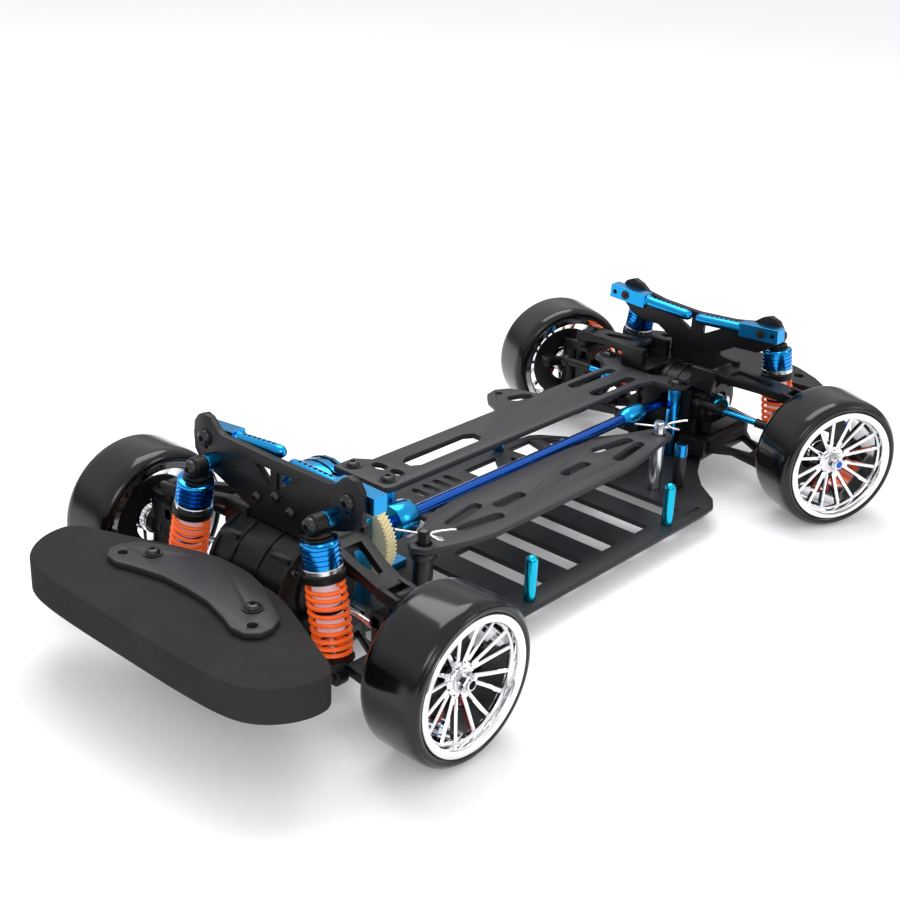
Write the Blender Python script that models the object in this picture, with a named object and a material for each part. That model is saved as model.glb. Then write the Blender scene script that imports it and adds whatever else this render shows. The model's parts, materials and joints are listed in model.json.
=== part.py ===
"""A 1/10 shaft-driven drift car chassis without its body shell: two carbon decks, foam bumper, front and
rear gearboxes, double wishbones with coil-over shocks, turning knuckles, and ten-spoke wheels on slick tyres.

X points to the car's left, -Y to its front and Z up; the tyres stand on Z = 0. Lengths are written in
millimetres and pass through MM. Every corner is drawn once as the front left one, with its axle at Y = 0,
and is mirrored and moved to its place. The rear knuckles stand turned by REAR_TURN at rest.
"""

import math

import bmesh
import bpy
from mathutils import Matrix, Vector

MM = 0.001
GAP = 0.3
CENTRE_Y = 2.5

# Driving dimensions
FRONT_AXLE = -126.0
REAR_AXLE = 137.0
AXLE_Z = 30.5
TYRE_R = 30.5
LIP_X = 94.3
TYRE_W = 25.0
KINGPIN_X = 70.0
REAR_TURN = math.radians(-26.0)
SHAFT_Z = 36.5
PLATE_Z0, PLATE_Z1 = 9.0, 11.5
ON_PLATE = PLATE_Z1 + GAP
DECK_Z0, DECK_Z1 = 45.5, 48.0
STRAP_Z0, STRAP_Z1 = 35.9, 38.4
STRAP_POSTS = ((23.0, -75.0), (24.0, 80.0))
STOPS_Y = (-41.5, 53.4)
STOP_X = 49.6

# Wishbone pivots, seen from the front: inner and outer (x, z)
ARM_IN = (23.0, 19.5)
ARM_OUT = (61.0, 14.5)
ARM_RISE = 36.0
ARM_SLOPE = math.atan2(ARM_IN[1] - ARM_OUT[1], ARM_OUT[0] - ARM_IN[0])
ARM_LEN = math.hypot(ARM_OUT[0] - ARM_IN[0], ARM_IN[1] - ARM_OUT[1])

# Each end: axle, tower faces, side of the shocks, shock plane, top and bottom shock pivots (x, z), housing radius
ENDS = {
    "front": {"axle": FRONT_AXLE, "tower": (-130.0, -127.0), "side": -1, "shock": -138.6,
              "top": (31.5, 72.0), "low": (42.5, 16.93), "housing": 19.3},
    "rear": {"axle": REAR_AXLE, "tower": (141.5, 144.5), "side": 1, "shock": 152.0,
             "top": (38.0, 71.5), "low": (45.5, 16.54), "housing": 13.5},
}
POST_PIVOT = {"front": (37.5, 79.0, -123.3, 5.5), "rear": (38.4, 77.0, 137.8, -3.5)}
LOW_POST_RISE = 0.5  # the front left post lies flatter than the others


def clear_scene():
    for obj in list(bpy.data.objects):
        bpy.data.objects.remove(obj, do_unlink=True)


def material(name, colour, roughness, metallic=0.0):
    made = bpy.data.materials.new(name)
    made.use_nodes = True
    shader = made.node_tree.nodes["Principled BSDF"]
    shader.inputs["Base Color"].default_value = (*colour, 1.0)
    shader.inputs["Roughness"].default_value = roughness
    shader.inputs["Metallic"].default_value = metallic
    return made


# ---------------------------------------------------------------- shapes, as meshes in metres

def mesh_of(verts, faces):
    mesh = bpy.data.meshes.new("shape")
    mesh.from_pydata([Vector(v) * MM for v in verts], [], faces)
    made = bmesh.new()
    made.from_mesh(mesh)
    bmesh.ops.remove_doubles(made, verts=made.verts, dist=1e-7)
    bmesh.ops.recalc_face_normals(made, faces=made.faces)
    made.to_mesh(mesh)
    made.free()
    return mesh


def box(x0, x1, y0, y1, z0, z1):
    verts = [(x, y, z) for x in (x0, x1) for y in (y0, y1) for z in (z0, z1)]
    faces = [(0, 1, 3, 2), (4, 6, 7, 5), (0, 4, 5, 1), (2, 3, 7, 6), (0, 2, 6, 4), (1, 5, 7, 3)]
    return mesh_of(verts, faces)


def rings(loops, capped=True, closed=False):
    """Skin equal loops of points, one after the next."""
    count = len(loops[0])
    verts = [p for loop in loops for p in loop]
    faces = []
    for k in range(len(loops) if closed else len(loops) - 1):
        a, b = k * count, (k + 1) % len(loops) * count
        for i in range(count):
            j = (i + 1) % count
            faces.append((a + i, a + j, b + j, b + i))
    if capped and not closed:
        faces.append(tuple(range(count)))
        faces.append(tuple(range(len(verts) - count, len(verts))))
    return mesh_of(verts, faces)


def round_steps(r):
    """How many flats stand for a circle of this radius."""
    if r < 2.2:
        return 8
    if r < 4.3:
        return 10
    return 14 if r < 9 else 22


def rod(r, start, end, r_end=None):
    """A round bar from start to end, or a cone when r_end is given."""
    steps = round_steps(max(r, r_end or r))
    a, b = Vector(start), Vector(end)
    along = (b - a).normalized()
    u = along.orthogonal().normalized()
    v = along.cross(u)
    loops = []
    for centre, radius in ((a, r), (b, r if r_end is None else r_end)):
        angles = [2 * math.pi * (k + 0.5) / steps for k in range(steps)]
        loops.append([centre + radius * (math.cos(t) * u + math.sin(t) * v) for t in angles])
    return rings(loops)


def lathe_x(profile, steps=24):
    """A closed (x, r) profile turned round the X axis, with a flat at the bottom that r reaches to."""
    loops = []
    for k in range(steps):
        t = 2 * math.pi * (k + 0.5) / steps
        reach = 1 / math.cos(math.pi / steps)
        loops.append([(x, r * reach * math.cos(t), r * reach * math.sin(t)) for x, r in profile])
    return rings(loops, closed=True)


def plate(outline, z0, z1):
    """A flat piece with this plan outline."""
    return rings([[(x, y, z) for x, y in outline] for z in (z0, z1)])


def upright(outline, y0, y1):
    """A flat piece that stands across the car, with this (x, z) outline."""
    return rings([[(x, y, z) for x, z in outline] for y in (y0, y1)])


def both_sides(half):
    """A symmetric outline from its X >= 0 half, given from front to back."""
    left = list(half)
    return left + [(-x, y) for x, y in reversed(left) if x > 1e-6]


def disc(cx, cy, r, z0, z1):
    return rod(r, (cx, cy, z0), (cx, cy, z1))


def slot(x0, y0, x1, y1, r, steps=3):
    """The outline of a slot with round ends, from one end centre to the other."""
    t = math.atan2(y1 - y0, x1 - x0)
    out = []
    for cx, cy, base in ((x0, y0, t + math.pi / 2), (x1, y1, t - math.pi / 2)):
        for k in range(steps + 1):
            a = base + math.pi * k / steps
            out.append((cx + r * math.cos(a), cy + r * math.sin(a)))
    return out


def moved(mesh, matrix):
    copy = mesh.copy()
    copy.transform(matrix)
    if matrix.determinant() < 0:
        copy.flip_normals()
    return copy


def shift(x, y, z):
    return Matrix.Translation(Vector((x, y, z)) * MM)


def turn(angle, axis, about=(0.0, 0.0, 0.0)):
    at = Vector(about) * MM
    return Matrix.Translation(at) @ Matrix.Rotation(angle, 4, axis) @ Matrix.Translation(-at)


def fuse(add, cut=()):
    """One mesh: the first shape, joined with the rest of add, less the shapes of cut."""
    base = bpy.data.objects.new("base", add[0].copy())
    bpy.context.scene.collection.objects.link(base)
    helpers = []
    for shapes, operation in ((add[1:], "UNION"), (cut, "DIFFERENCE")):
        for shape in shapes:
            helper = bpy.data.objects.new("helper", shape)
            bpy.context.scene.collection.objects.link(helper)
            helpers.append(helper)
            modifier = base.modifiers.new("join", "BOOLEAN")
            modifier.operation = operation
            modifier.solver = "EXACT"
            modifier.object = helper
    bpy.context.view_layer.update()
    graph = bpy.context.evaluated_depsgraph_get()
    mesh = bpy.data.meshes.new_from_object(base.evaluated_get(graph))
    for obj in [base, *helpers]:
        bpy.data.objects.remove(obj, do_unlink=True)
    return mesh


def place(name, mesh, made_of, origin=(0.0, 0.0, 0.0), parent=None, smooth=True):
    """The finished piece, with its origin at this point in millimetres, CENTRE_Y further back."""
    at = Vector(origin) * MM
    mesh = mesh.copy()
    mesh.transform(Matrix.Translation(-at))
    at.y += CENTRE_Y * MM
    mesh.materials.clear()
    mesh.materials.append(made_of)
    mesh.name = name
    obj = bpy.data.objects.new(name, mesh)
    obj.location = at
    bpy.context.scene.collection.objects.link(obj)
    if smooth:
        mesh.shade_smooth()
        mesh.set_sharp_from_angle(angle=math.radians(35))
    if parent:
        obj.parent = parent
        obj.matrix_parent_inverse = Matrix.Translation(parent.location).inverted()
    return obj


def corner(end, left):
    """From the front-left corner drawing, with its axle at Y = 0, to this corner."""
    flip = Matrix.Diagonal((1 if left else -1, 1 if end == "front" else -1, 1, 1))
    return shift(0, ENDS[end]["axle"], 0) @ flip


# ---------------------------------------------------------------- decks, bumpers and towers

def chassis_plate():
    left = [(0, -152), (14, -152), (19, -146), (19, -104), (24, -92), (38, -80), (50, -70), (55, -60),
            (55, 74), (54, 84), (50, 90), (38, 99), (28, 111), (20, 126), (19, 146), (19, 156), (12, 160), (0, 160)]
    base = plate(both_sides(left), PLATE_Z0, PLATE_Z1)
    cut = []
    z0, z1 = PLATE_Z0 - 2, PLATE_Z1 + 2
    for k in range(6):
        y = -53 + 23.4 * k
        cut.append(box(3.5, 45.2, y - 4.9, y + 4.9, z0, z1))
    for x, first in ((-45.7, -2.3), (-25.7, -11.6)):
        for k in range(4 if x < -40 else 5):
            y = first + 7.1 * k
            cut.append(plate(slot(x - 3.5, y, x + 3.5, y, 1.6), z0, z1))
    cut.append(box(-33, -19, -38, -19, z0, z1))
    cut.append(plate([(-48, 30), (-48, 52), (-22, 30)], z0, z1))
    cut.append(plate([(-15, 31), (-15, 62), (-43, 58)], z0, z1))
    cut.append(plate([(-50, 64), (-50, 80), (-15, 70), (-15, 67)], z0, z1))
    cut.append(plate([(-46, 86), (-15, 77), (-15, 104), (-29, 101)], z0, z1))
    for side in (-1, 1):
        cut.append(box(side * 47 - 2.5, side * 47 + 2.5, -36, -22, z0, z1) if side < 0 else box(49.5, 51, 70, 78, z0, z1))
    return fuse([base], cut)


def top_deck():
    outline = [(-36, -66), (-7, -66), (-5.5, -63), (-5.5, 104), (-3, 112), (9, 114), (12, 119), (9, 124),
               (3, 124), (-8, 118), (-19.7, 122), (-19.7, 147), (-24, 150), (-29, 149), (-31, 132), (-40, 130),
               (-44.5, 126), (-43, 120), (-38, 119), (-30, 112), (-29.8, 58), (-37, 56), (-43, 53), (-46.3, 47),
               (-45, 40), (-40, 35), (-29.8, 30), (-29.8, -50), (-36, -55)]
    base = plate(outline, DECK_Z0, DECK_Z1)
    z0, z1 = DECK_Z0 - 2, DECK_Z1 + 2
    cut = [
        plate(slot(-17, -39, -17, -3, 4.6), z0, z1),
        plate(slot(-24.6, -52.5, -21.5, -52.5, 2.6), z0, z1),
        plate(slot(-15.5, -51.5, -12.5, -51.5, 2.2), z0, z1),
        plate(slot(-24.6, 78, -24.6, 108, 2.6), z0, z1),
        plate(slot(-11.6, 78, -11.6, 106, 2.8), z0, z1),
        plate(slot(-33.5, 45, -31, 52, 3.2), z0, z1),
        disc(-42, 45, 1.8, z0, z1),
    ]
    return fuse([base], cut)


def battery_strap():
    (fx, fy), (rx, ry) = STRAP_POSTS
    outline = [(fx - 5, fy - 4), (fx, fy - 6.5), (fx + 5, fy - 4), (fx + 7, fy + 2), (34.5, -60), (36.5, -48),
               (36.5, 40), (35, 52), (31, ry - 9), (rx + 5.5, ry + 3), (rx, ry + 6), (rx - 5.5, ry + 3),
               (12, 66), (7.5, 52), (5.5, 36), (5.5, -40), (8, -56), (fx - 7, fy + 5)]
    base = plate(outline, STRAP_Z0, STRAP_Z1)
    z0, z1 = STRAP_Z0 - 2, STRAP_Z1 + 2
    cut = [disc(x, y, 3.2, z0, z1) for x, y in STRAP_POSTS]
    for y0, y1 in ((-55, -36), (44, 64)):
        for x in (15.5, 27.5):
            lean = 3 if x < 20 else -3
            if y0 < 0:
                cut.append(plate(slot(x + lean, y0, x, y1, 2.4), z0, z1))
            else:
                cut.append(plate(slot(x, y0, x + lean, y1, 2.4), z0, z1))
    for y in (-22, 22):
        cut.append(plate(slot(21, y - 7, 21, y + 7, 2.4), z0, z1))
    return fuse([base], cut)


def foam_bumper():
    half = [(0, -198), (44, -198), (55, -196.5), (63, -192), (69, -184), (71, -175), (70.5, -168),
            (40, -154.5), (20, -147), (0, -147)]
    return plate(both_sides(half), 31.0, 44.4)


def bumper_plate():
    half = [(0, -170.5), (12, -171), (24, -174), (31, -176.5), (37, -176), (41, -172), (41, -167), (38, -161),
            (30, -157), (17, -150.5), (8, -148.2), (0, -147.8)]
    cut = [disc(side * x, y, r, 42, 50) for side in (-1, 1) for x, y, r in ((35, -170.5, 1.9), (27, -163.5, 1.7))]
    return fuse([plate(both_sides(half), 44.7, 47.2)], cut)


def rear_bumper():
    half = [(0, 193), (20, 191.5), (34, 187), (47, 180), (55, 173.5), (56.5, 169.5), (52, 167), (40, 166),
            (30, 163), (14, 156), (0, 156)]
    half = half[::-1]
    cut = [disc(side * 39, 177, 2.6, 36, 50) for side in (-1, 1)]
    return fuse([plate(both_sides(half), 38.0, 46.0)], cut)


def tower(end):
    """The shock tower with its stand-offs, which carry the shocks, and the pins of the body posts."""
    y0, y1 = ENDS[end]["tower"]
    if end == "front":
        half = [(0, 56.2), (13.3, 56.2), (13.3, 59.5), (24, 63.5), (36, 67.5), (41, 69.5), (43.6, 73), (44, 79),
                (43.4, 84), (41, 87.2), (38, 88.3), (35, 87.4), (31.5, 84), (28, 82.6), (0, 82.3)]
        holes = [[(10.5, 78), (1.7, 78), (1.7, 70.5)]]
    else:
        half = [(0, 50.3), (13.3, 50.3), (13.3, 59.5), (22, 64.5), (34, 65), (38, 67), (44, 72), (45.5, 78.5),
                (43, 82.3), (38.5, 84), (34, 82.3), (30, 79.3), (20, 77.5), (0, 76.3)]
        holes = [[(13.5, 71.5), (3.2, 73), (3.2, 66)]]
    x, z = ENDS[end]["top"]
    side = ENDS[end]["side"]
    face = y0 if side < 0 else y1
    shock = ENDS[end]["shock"]
    px, pz, py, _ = POST_PIVOT[end]
    add = [upright(both_sides(half), y0, y1)]
    cut = []
    for s in (-1, 1):
        add.append(rod(3.0, (s * x, face - side, z), (s * x, shock - side * 3.3, z)))
        add.append(rod(1.4, (s * x, face, z), (s * x, shock + side * 3.6, z)))
        back = y1 if side < 0 else y0
        add.append(rod(1.4, (s * px, back + side, pz), (s * px, py - side * 3.9, pz)))
        for hole in holes:
            cut.append(upright([(s * hx, hz) for hx, hz in hole], y0 - 2, y1 + 2))
        for hx, hz in ((x + 5.6, z + 3.4), (x + 5.4, z - 0.2)):
            cut.append(rod(0.9, (s * hx, y0 - 2, hz), (s * hx, y1 + 2, hz)))
    return fuse(add, cut)


def gearbox(end):
    """The housing with its hollow for the differential, the wishbone pins and, at each end, its bracket."""
    r = ENDS[end]["housing"]
    top = ARM_IN[1] + ARM_RISE
    x, z = ARM_IN
    base = "front" == end
    add = [
        rod(r, (-19, 0, SHAFT_Z), (19, 0, SHAFT_Z)),
        box(-16, 16, -13, 13, ON_PLATE, 30),
        box(-13.5, 13.5, 2, r + 2.5, 28, 45),
    ]
    for s in (-1, 1):
        add.append(box(min(s * 12, s * 17), max(s * 12, s * 17), -20, 20, ON_PLATE, 23))
        add.append(box(min(s * 9, s * 18), max(s * 9, s * 18), -14, 12.4, 46, 52.4 if base else 50))
        add.append(rod(1.5, (s * x, -20, z), (s * x, 20, z)))
        add.append(rod(1.5, (s * x, -4, top), (s * x, 18, top)))
        for y in (-20, 16.4):
            add.append(box(min(s * 14, s * 26), max(s * 14, s * 26), y, y + 3.6, z - 4, z + 4))
        for y in (-5, 15.4):
            lift = 49 if y < 0 else 48.6
            add.append(box(min(s * 14, s * 26), max(s * 14, s * 26), y, y + 3.6, lift, top + 3))
            if y > 14:
                add.append(box(min(s * 10, s * 17), max(s * 10, s * 17), 12, y + 3.6, lift, 52.4 if base else 50))
    if base:
        add.append(box(-14, 14, -41, -12, 26, 30.6))
        add.append(box(-14, 14, -22, -11, 24, 31))
    cut = [
        rod(r - 2.6, (-16.4, 0, SHAFT_Z), (16.4, 0, SHAFT_Z)),
        rod(5.4, (-30, 0, SHAFT_Z), (30, 0, SHAFT_Z)),
        rod(4.0, (0, 5, SHAFT_Z), (0, 40, SHAFT_Z)),
    ]
    mesh = fuse(add, cut)
    flip = Matrix.Diagonal((1, 1 if base else -1, 1, 1))
    mesh = moved(mesh, shift(0, ENDS[end]["axle"], 0) @ flip)
    if base:
        return mesh
    bracket = [
        plate([(-12, 120), (-38, 120), (-43.5, 124.5), (-41, 129), (-31, 131), (-30.5, 148), (-21, 148),
               (-20, 131), (-12, 129)], 42.0, DECK_Z0 - GAP),
        box(-8, 8, 148, 166, 30, 37.7),
    ]
    return fuse([mesh, *bracket], [rod(4.0, (0, 105, SHAFT_Z), (0, 132, SHAFT_Z))])


def motor_mount():
    """Foot, shaft bearing block, wall and post under the deck's front screws, and the arch for the motor can."""
    foot = box(-40, -3, -98, -56, ON_PLATE, 14.5)
    block = box(-8.5, 8.5, -98, -88.4, ON_PLATE, 48.5)
    wall = box(-36, -17, -65, -58, 13, DECK_Z0 - GAP)
    post = disc(-11.7, -59.5, 3.4, 13, DECK_Z0 - GAP)
    arch = rod(19.2, (-44.5, -73, 27.8), (-44.5, -59, 27.8))
    cut = [
        rod(16.6, (-44.5, -80, 27.8), (-44.5, -50, 27.8)),
        box(-80, 0, -80, -50, -10, ON_PLATE),
        rod(3.2, (0, -104, SHAFT_Z), (0, -76, SHAFT_Z)),
        box(-31, -21, -70, -50, 20, 38),
    ]
    return fuse([foot, block, wall, post, arch], cut)


def battery_post(x, y, r, flange):
    add = [disc(x, y, r, ON_PLATE, STRAP_Z0 - GAP), disc(x, y, 2.7, 30, 44.5)]
    if flange:
        add.append(disc(x, y, 5.6, 32.8, STRAP_Z0 - GAP))
    cut = [rod(0.8, (x - 6, y, 41.8), (x + 6, y, 41.8))]
    return fuse(add, cut)


def dome_post(x, y, top, r=2.5, steps=14):
    profile = [(r, ON_PLATE), (r, top - r)] + [(r * math.cos(a), top - r + r * math.sin(a))
                                               for a in (0.5, 1.0, 1.35)]
    loops = []
    for radius, z in profile:
        loops.append([(x + radius * math.cos(2 * math.pi * k / steps), y + radius * math.sin(2 * math.pi * k / steps), z)
                      for k in range(steps)])
    return rings(loops)


# ---------------------------------------------------------------- drive line

def drive_shaft():
    front, rear = FRONT_AXLE + 7.6, REAR_AXLE - 7.6
    z = SHAFT_Z
    return fuse([
        rod(2.5, (0, front + 1, z), (0, rear - 1, z)),
        rod(3.4, (0, front, z), (0, front + 4, z), 4.6),
        rod(3.8, (0, rear - 2.2, z), (0, rear, z), 3.0),
        rod(7.0, (0, -70, z), (0, -60.5, z)),
        rod(7.0, (0, -60.5, z), (0, -57.5, z), 4.5),
        rod(4.7, (0, 88, z), (0, 98, z)),
    ])


def spur_gear():
    teeth = 24
    outer, root, bore = 16.3, 15.0, 2.8
    loops = []
    for y in (-87.4, -82.7):
        ring = []
        for k in range(2 * teeth):
            t = 2 * math.pi * (k + 0.5) / (2 * teeth)
            r = outer if k % 4 in (0, 1) else root
            ring.append((r * math.cos(t), y, SHAFT_Z + r * math.sin(t)))
        loops.append(ring)
    return fuse([rings(loops)], [rod(bore, (0, -92, SHAFT_Z), (0, -78, SHAFT_Z))])


def differential(end):
    """Case, ring gear and the two slotted output cups, turning together."""
    ring = 12.2 if end == "front" else 10.3
    add = [
        rod(6.4, (-8, 0, 0), (7, 0, 0)),
        rod(ring, (-11, 0, 0), (-7.4, 0, 0)),
        rod(2.4, (-20, 0, 0), (20, 0, 0)),
        rod(4.6, (-23, 0, 0), (-13, 0, 0)),
        rod(4.6, (13, 0, 0), (23, 0, 0)),
    ]
    cut = [box(s * 21 - 3, s * 21 + 3, -1.1, 1.1, -8, 8) for s in (-1, 1)]
    mesh = fuse(add, cut)
    return moved(mesh, shift(0, ENDS[end]["axle"], SHAFT_Z))


# ---------------------------------------------------------------- a corner, drawn as the front left one

def lower_arm(end):
    """Flat here, with its inner pivot at the origin; then it is sloped and put on the pin."""
    reach = abs(ENDS[end]["shock"] - ENDS[end]["axle"])
    low_x = (ENDS[end]["low"][0] - ARM_IN[0]) / math.cos(ARM_SLOPE)
    add = [
        rod(3.0, (0, -16, 0), (0, 16, 0)),
        plate([(0, -15.9), (4, -15.9), (12, -8.2), (ARM_LEN - 5, -8.0), (ARM_LEN - 5, 8.0), (12, 8.2), (4, 15.9),
               (0, 15.9)], -2, 2),
        rod(1.3, (low_x, -6, 0), (low_x, -reach - 3.2, 0)),
        rod(1.2, (ARM_LEN, -7.9, 0), (ARM_LEN, 7.9, 0)),
    ]
    for s in (-1, 1):
        y0, y1 = sorted((s * 4.9, s * 8.0))
        add.append(box(ARM_LEN - 8, ARM_LEN + 2.6, y0, y1, -2.6, 2.6))
    cut = [
        rod(1.9, (0, -20, 0), (0, 20, 0)),
        plate([(7, -9.5), (7, 9.5), (19, 4.4), (19, -4.4)], -5, 5),
    ]
    slope = turn(ARM_SLOPE, "Y")
    return moved(fuse(add, cut), shift(ARM_IN[0], 0, ARM_IN[1]) @ slope)


def upper_arm():
    """The open upper wishbone; the shock passes beside it."""
    add = [
        rod(2.6, (0, -1, 0), (0, 15, 0)),
        plate([(0, -0.9), (4, -0.9), (16, -3.2), (ARM_LEN - 5, -6), (ARM_LEN - 5, 6), (22, 8.5), (5, 14.9),
               (0, 14.9)], -1.8, 1.8),
        rod(1.2, (ARM_LEN, -5.9, 0), (ARM_LEN, 5.9, 0)),
    ]
    for s in (-1, 1):
        y0, y1 = sorted((s * 3.9, s * 6.0))
        add.append(box(ARM_LEN - 7, ARM_LEN + 2.2, y0, y1, -2.2, 2.2))
    cut = [
        rod(1.9, (0, -8, 0), (0, 20, 0)),
        plate([(6.5, 2), (6.5, 10.5), (25, 3.2), (25, 0.5), (18, 0)], -5, 5),
    ]
    slope = turn(ARM_SLOPE, "Y")
    return moved(fuse(add, cut), shift(ARM_IN[0], 0, ARM_IN[1] + ARM_RISE) @ slope)


def hub_carrier():
    """The C-shaped carrier between the wishbones, with the two prongs of the kingpin."""
    x, z = ARM_OUT
    add = [
        box(x - 2.5, x + 2.5, -4.5, 4.5, z, z + ARM_RISE - 3),
        rod(3.0, (x, -4.5, z), (x, 4.5, z)),
        rod(2.6, (x, -3.5, z + ARM_RISE), (x, 3.5, z + ARM_RISE)),
        box(x - 2.5, x + 2.5, -3.5, 3.5, z + ARM_RISE - 5, z + ARM_RISE),
    ]
    cut = [
        rod(1.6, (x, -9, z), (x, 9, z)),
        rod(1.6, (x, -9, z + ARM_RISE), (x, 9, z + ARM_RISE)),
    ]
    for z0 in (16.0, 42.0):
        add.append(box(x - 1, KINGPIN_X, -4.5, 4.5, z0, z0 + 4))
        add.append(disc(KINGPIN_X, 0, 4.5, z0, z0 + 4))
        cut.append(disc(KINGPIN_X, 0, 2.0, z0 - 1, z0 + 5))
    return fuse(add, cut)


def knuckle():
    x = KINGPIN_X
    lever = plate([(x - 2.4, 0), (x + 2.4, 0), (x + 1.4, 14), (x - 3.2, 14)], 32.5, 35.7)
    add = [
        disc(x, 0, 4.5, 20.4, 41.6),
        disc(x, 0, 1.6, 16.6, 45.4),
        rod(5.6, (x + 1, 0, AXLE_Z), (x + 8.4, 0, AXLE_Z)),
        rod(2.4, (x, 0, AXLE_Z), (LIP_X - 2.2, 0, AXLE_Z)),
        lever,
        disc(x - 0.9, 14, 2.6, 32.5, 35.7),
    ]
    return fuse(add, [disc(x - 0.9, 14, 1.1, 30, 38)])


def rim():
    profile = [(0, 25.6), (-25, 25.6), (-25, 22.6), (-4.5, 22.6), (-1.4, 21.7), (0, 22.4)]
    add = [lathe_x(profile), rod(6.6, (-14, 0, 0), (-4.2, 0, 0))]
    for k in range(5):
        t = 2 * math.pi * k / 5
        spoke = box(-8, -3.4, -2.5, 2.5, 5, 23)
        add.append(moved(spoke, Matrix.Rotation(t, 4, "X")))
    mesh = fuse(add, [rod(2.9, (-20, 0, 0), (5, 0, 0))])
    return moved(mesh, shift(LIP_X, 0, AXLE_Z))


def tyre():
    profile = [(-0.4, 25.9), (0.3, 27.6), (-0.7, 29.3), (-3.2, TYRE_R), (-21.8, TYRE_R), (-24.3, 29.3),
               (-25.3, 27.6), (-24.6, 25.9)]
    return moved(lathe_x(profile), shift(LIP_X, 0, AXLE_Z))


# ---------------------------------------------------------------- shocks, drawn hanging down from the top pivot

def shock_length(end):
    (tx, tz), (lx, lz) = ENDS[end]["top"], ENDS[end]["low"]
    return math.hypot(lx - tx, tz - lz)


def shock_frame(end, left):
    """From a shock drawn along -Z below the origin to its place."""
    (tx, tz), (lx, lz) = ENDS[end]["top"], ENDS[end]["low"]
    lean = math.atan2(lx - tx, tz - lz)
    s = 1 if left else -1
    return shift(s * tx, ENDS[end]["shock"], tz) @ Matrix.Rotation(-s * lean, 4, "Y")


def shock_body():
    add = [
        rod(3.6, (0, -2.6, 0), (0, 2.6, 0)),
        rod(2.6, (0, 0, 0), (0, 0, -7)),
        rod(6.0, (0, 0, -4.6), (0, 0, -6.2), 6.9),
        rod(6.9, (0, 0, -6.2), (0, 0, -18)),
        rod(7.5, (0, 0, -18), (0, 0, -21)),
        rod(4.9, (0, 0, -20), (0, 0, -39)),
    ]
    cut = [rod(1.9, (0, -6, 0), (0, 6, 0)), rod(3.6, (0, 0, -14), (0, 0, -45))]
    return fuse(add, cut)


def shock_rod(length):
    add = [
        rod(1.2, (0, 0, -25), (0, 0, -length + 2)),
        rod(3.2, (0, 0, -27), (0, 0, -29)),
        rod(7.0, (0, 0, -length + 5.5), (0, 0, -length + 7.1)),
        rod(3.0, (0, 0, -length + 6.3), (0, 0, -length + 1)),
        rod(3.4, (0, -2.3, -length), (0, 2.3, -length)),
    ]
    return fuse(add, [rod(2.0, (0, -6, -length), (0, 6, -length))])


def spring(length):
    """Seven turns of round wire between the collar and the lower cup."""
    turns, per_turn, sides, wire, radius = 6, 8, 4, 0.95, 6.35
    top, bottom = -21.3 - wire, -length + 7.4 + wire
    loops = []
    count = turns * per_turn
    for k in range(count + 1):
        t = 2 * math.pi * k / per_turn
        z = top + (bottom - top) * k / count
        out = Vector((math.cos(t), math.sin(t), 0))
        loops.append([
            out * (radius + wire * math.cos(2 * math.pi * i / sides))
            + Vector((0, 0, z + wire * math.sin(2 * math.pi * i / sides)))
            for i in range(sides)
        ])
    return rings(loops)


def body_post(end, left):
    """A folded body post: square end block with the pivot bore, then a round rod with a pointed tip."""
    px, pz, py, rise = POST_PIVOT[end]
    if end == "front" and left:
        rise = LOW_POST_RISE
    tip = px - 1.2
    add = [
        box(-12, 9, -3.0, 3.0, -3.2, 3.2),
        rod(2.7, (-11, 0, 0), (-tip + 3, 0, 0)),
        rod(2.7, (-tip + 3, 0, 0), (-tip, 0, 0), 1.0),
    ]
    cut = [rod(1.8, (0, -6, 0), (0, 6, 0)), rod(1.1, (6.2, -6, 0), (6.2, 6, 0))]
    mesh = moved(fuse(add, cut), Matrix.Rotation(math.radians(rise), 4, "Y"))
    return moved(mesh, shift(px, py, pz))


# ---------------------------------------------------------------- the whole car

def build_fixed(mats):
    carbon, plastic, blue = mats["carbon"], mats["plastic"], mats["blue"]
    place("chassis_plate", chassis_plate(), carbon)
    place("top_deck", top_deck(), carbon)
    place("battery_strap", battery_strap(), carbon)
    place("bumper_plate", bumper_plate(), carbon)
    place("foam_bumper", foam_bumper(), mats["foam"])
    place("rear_bumper", rear_bumper(), plastic)
    place("motor_mount", motor_mount(), blue)
    place("rear_deck_post", disc(6.8, 117.4, 3.0, ON_PLATE, DECK_Z0 - GAP), blue)
    place("battery_post_front", battery_post(*STRAP_POSTS[0], 3.6, True), plastic)
    place("battery_post_rear", battery_post(*STRAP_POSTS[1], 3.0, False), mats["steel"])
    for name, y in zip(("battery_stop_front", "battery_stop_rear"), STOPS_Y):
        place(name, dome_post(STOP_X, y, 31.0), mats["cyan"])
    for end in ENDS:
        place(f"{end}_gearbox", gearbox(end), plastic)
        place(f"{end}_shock_tower", tower(end), carbon)


def build_drive(mats):
    shaft = place("drive_shaft", drive_shaft(), mats["deep_blue"], (0, 0, SHAFT_Z))
    place("spur_gear", spur_gear(), mats["cream"], (0, 0, SHAFT_Z), shaft)
    for end in ENDS:
        place(f"{end}_differential", differential(end), mats["steel"], (0, ENDS[end]["axle"], SHAFT_Z))


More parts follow.
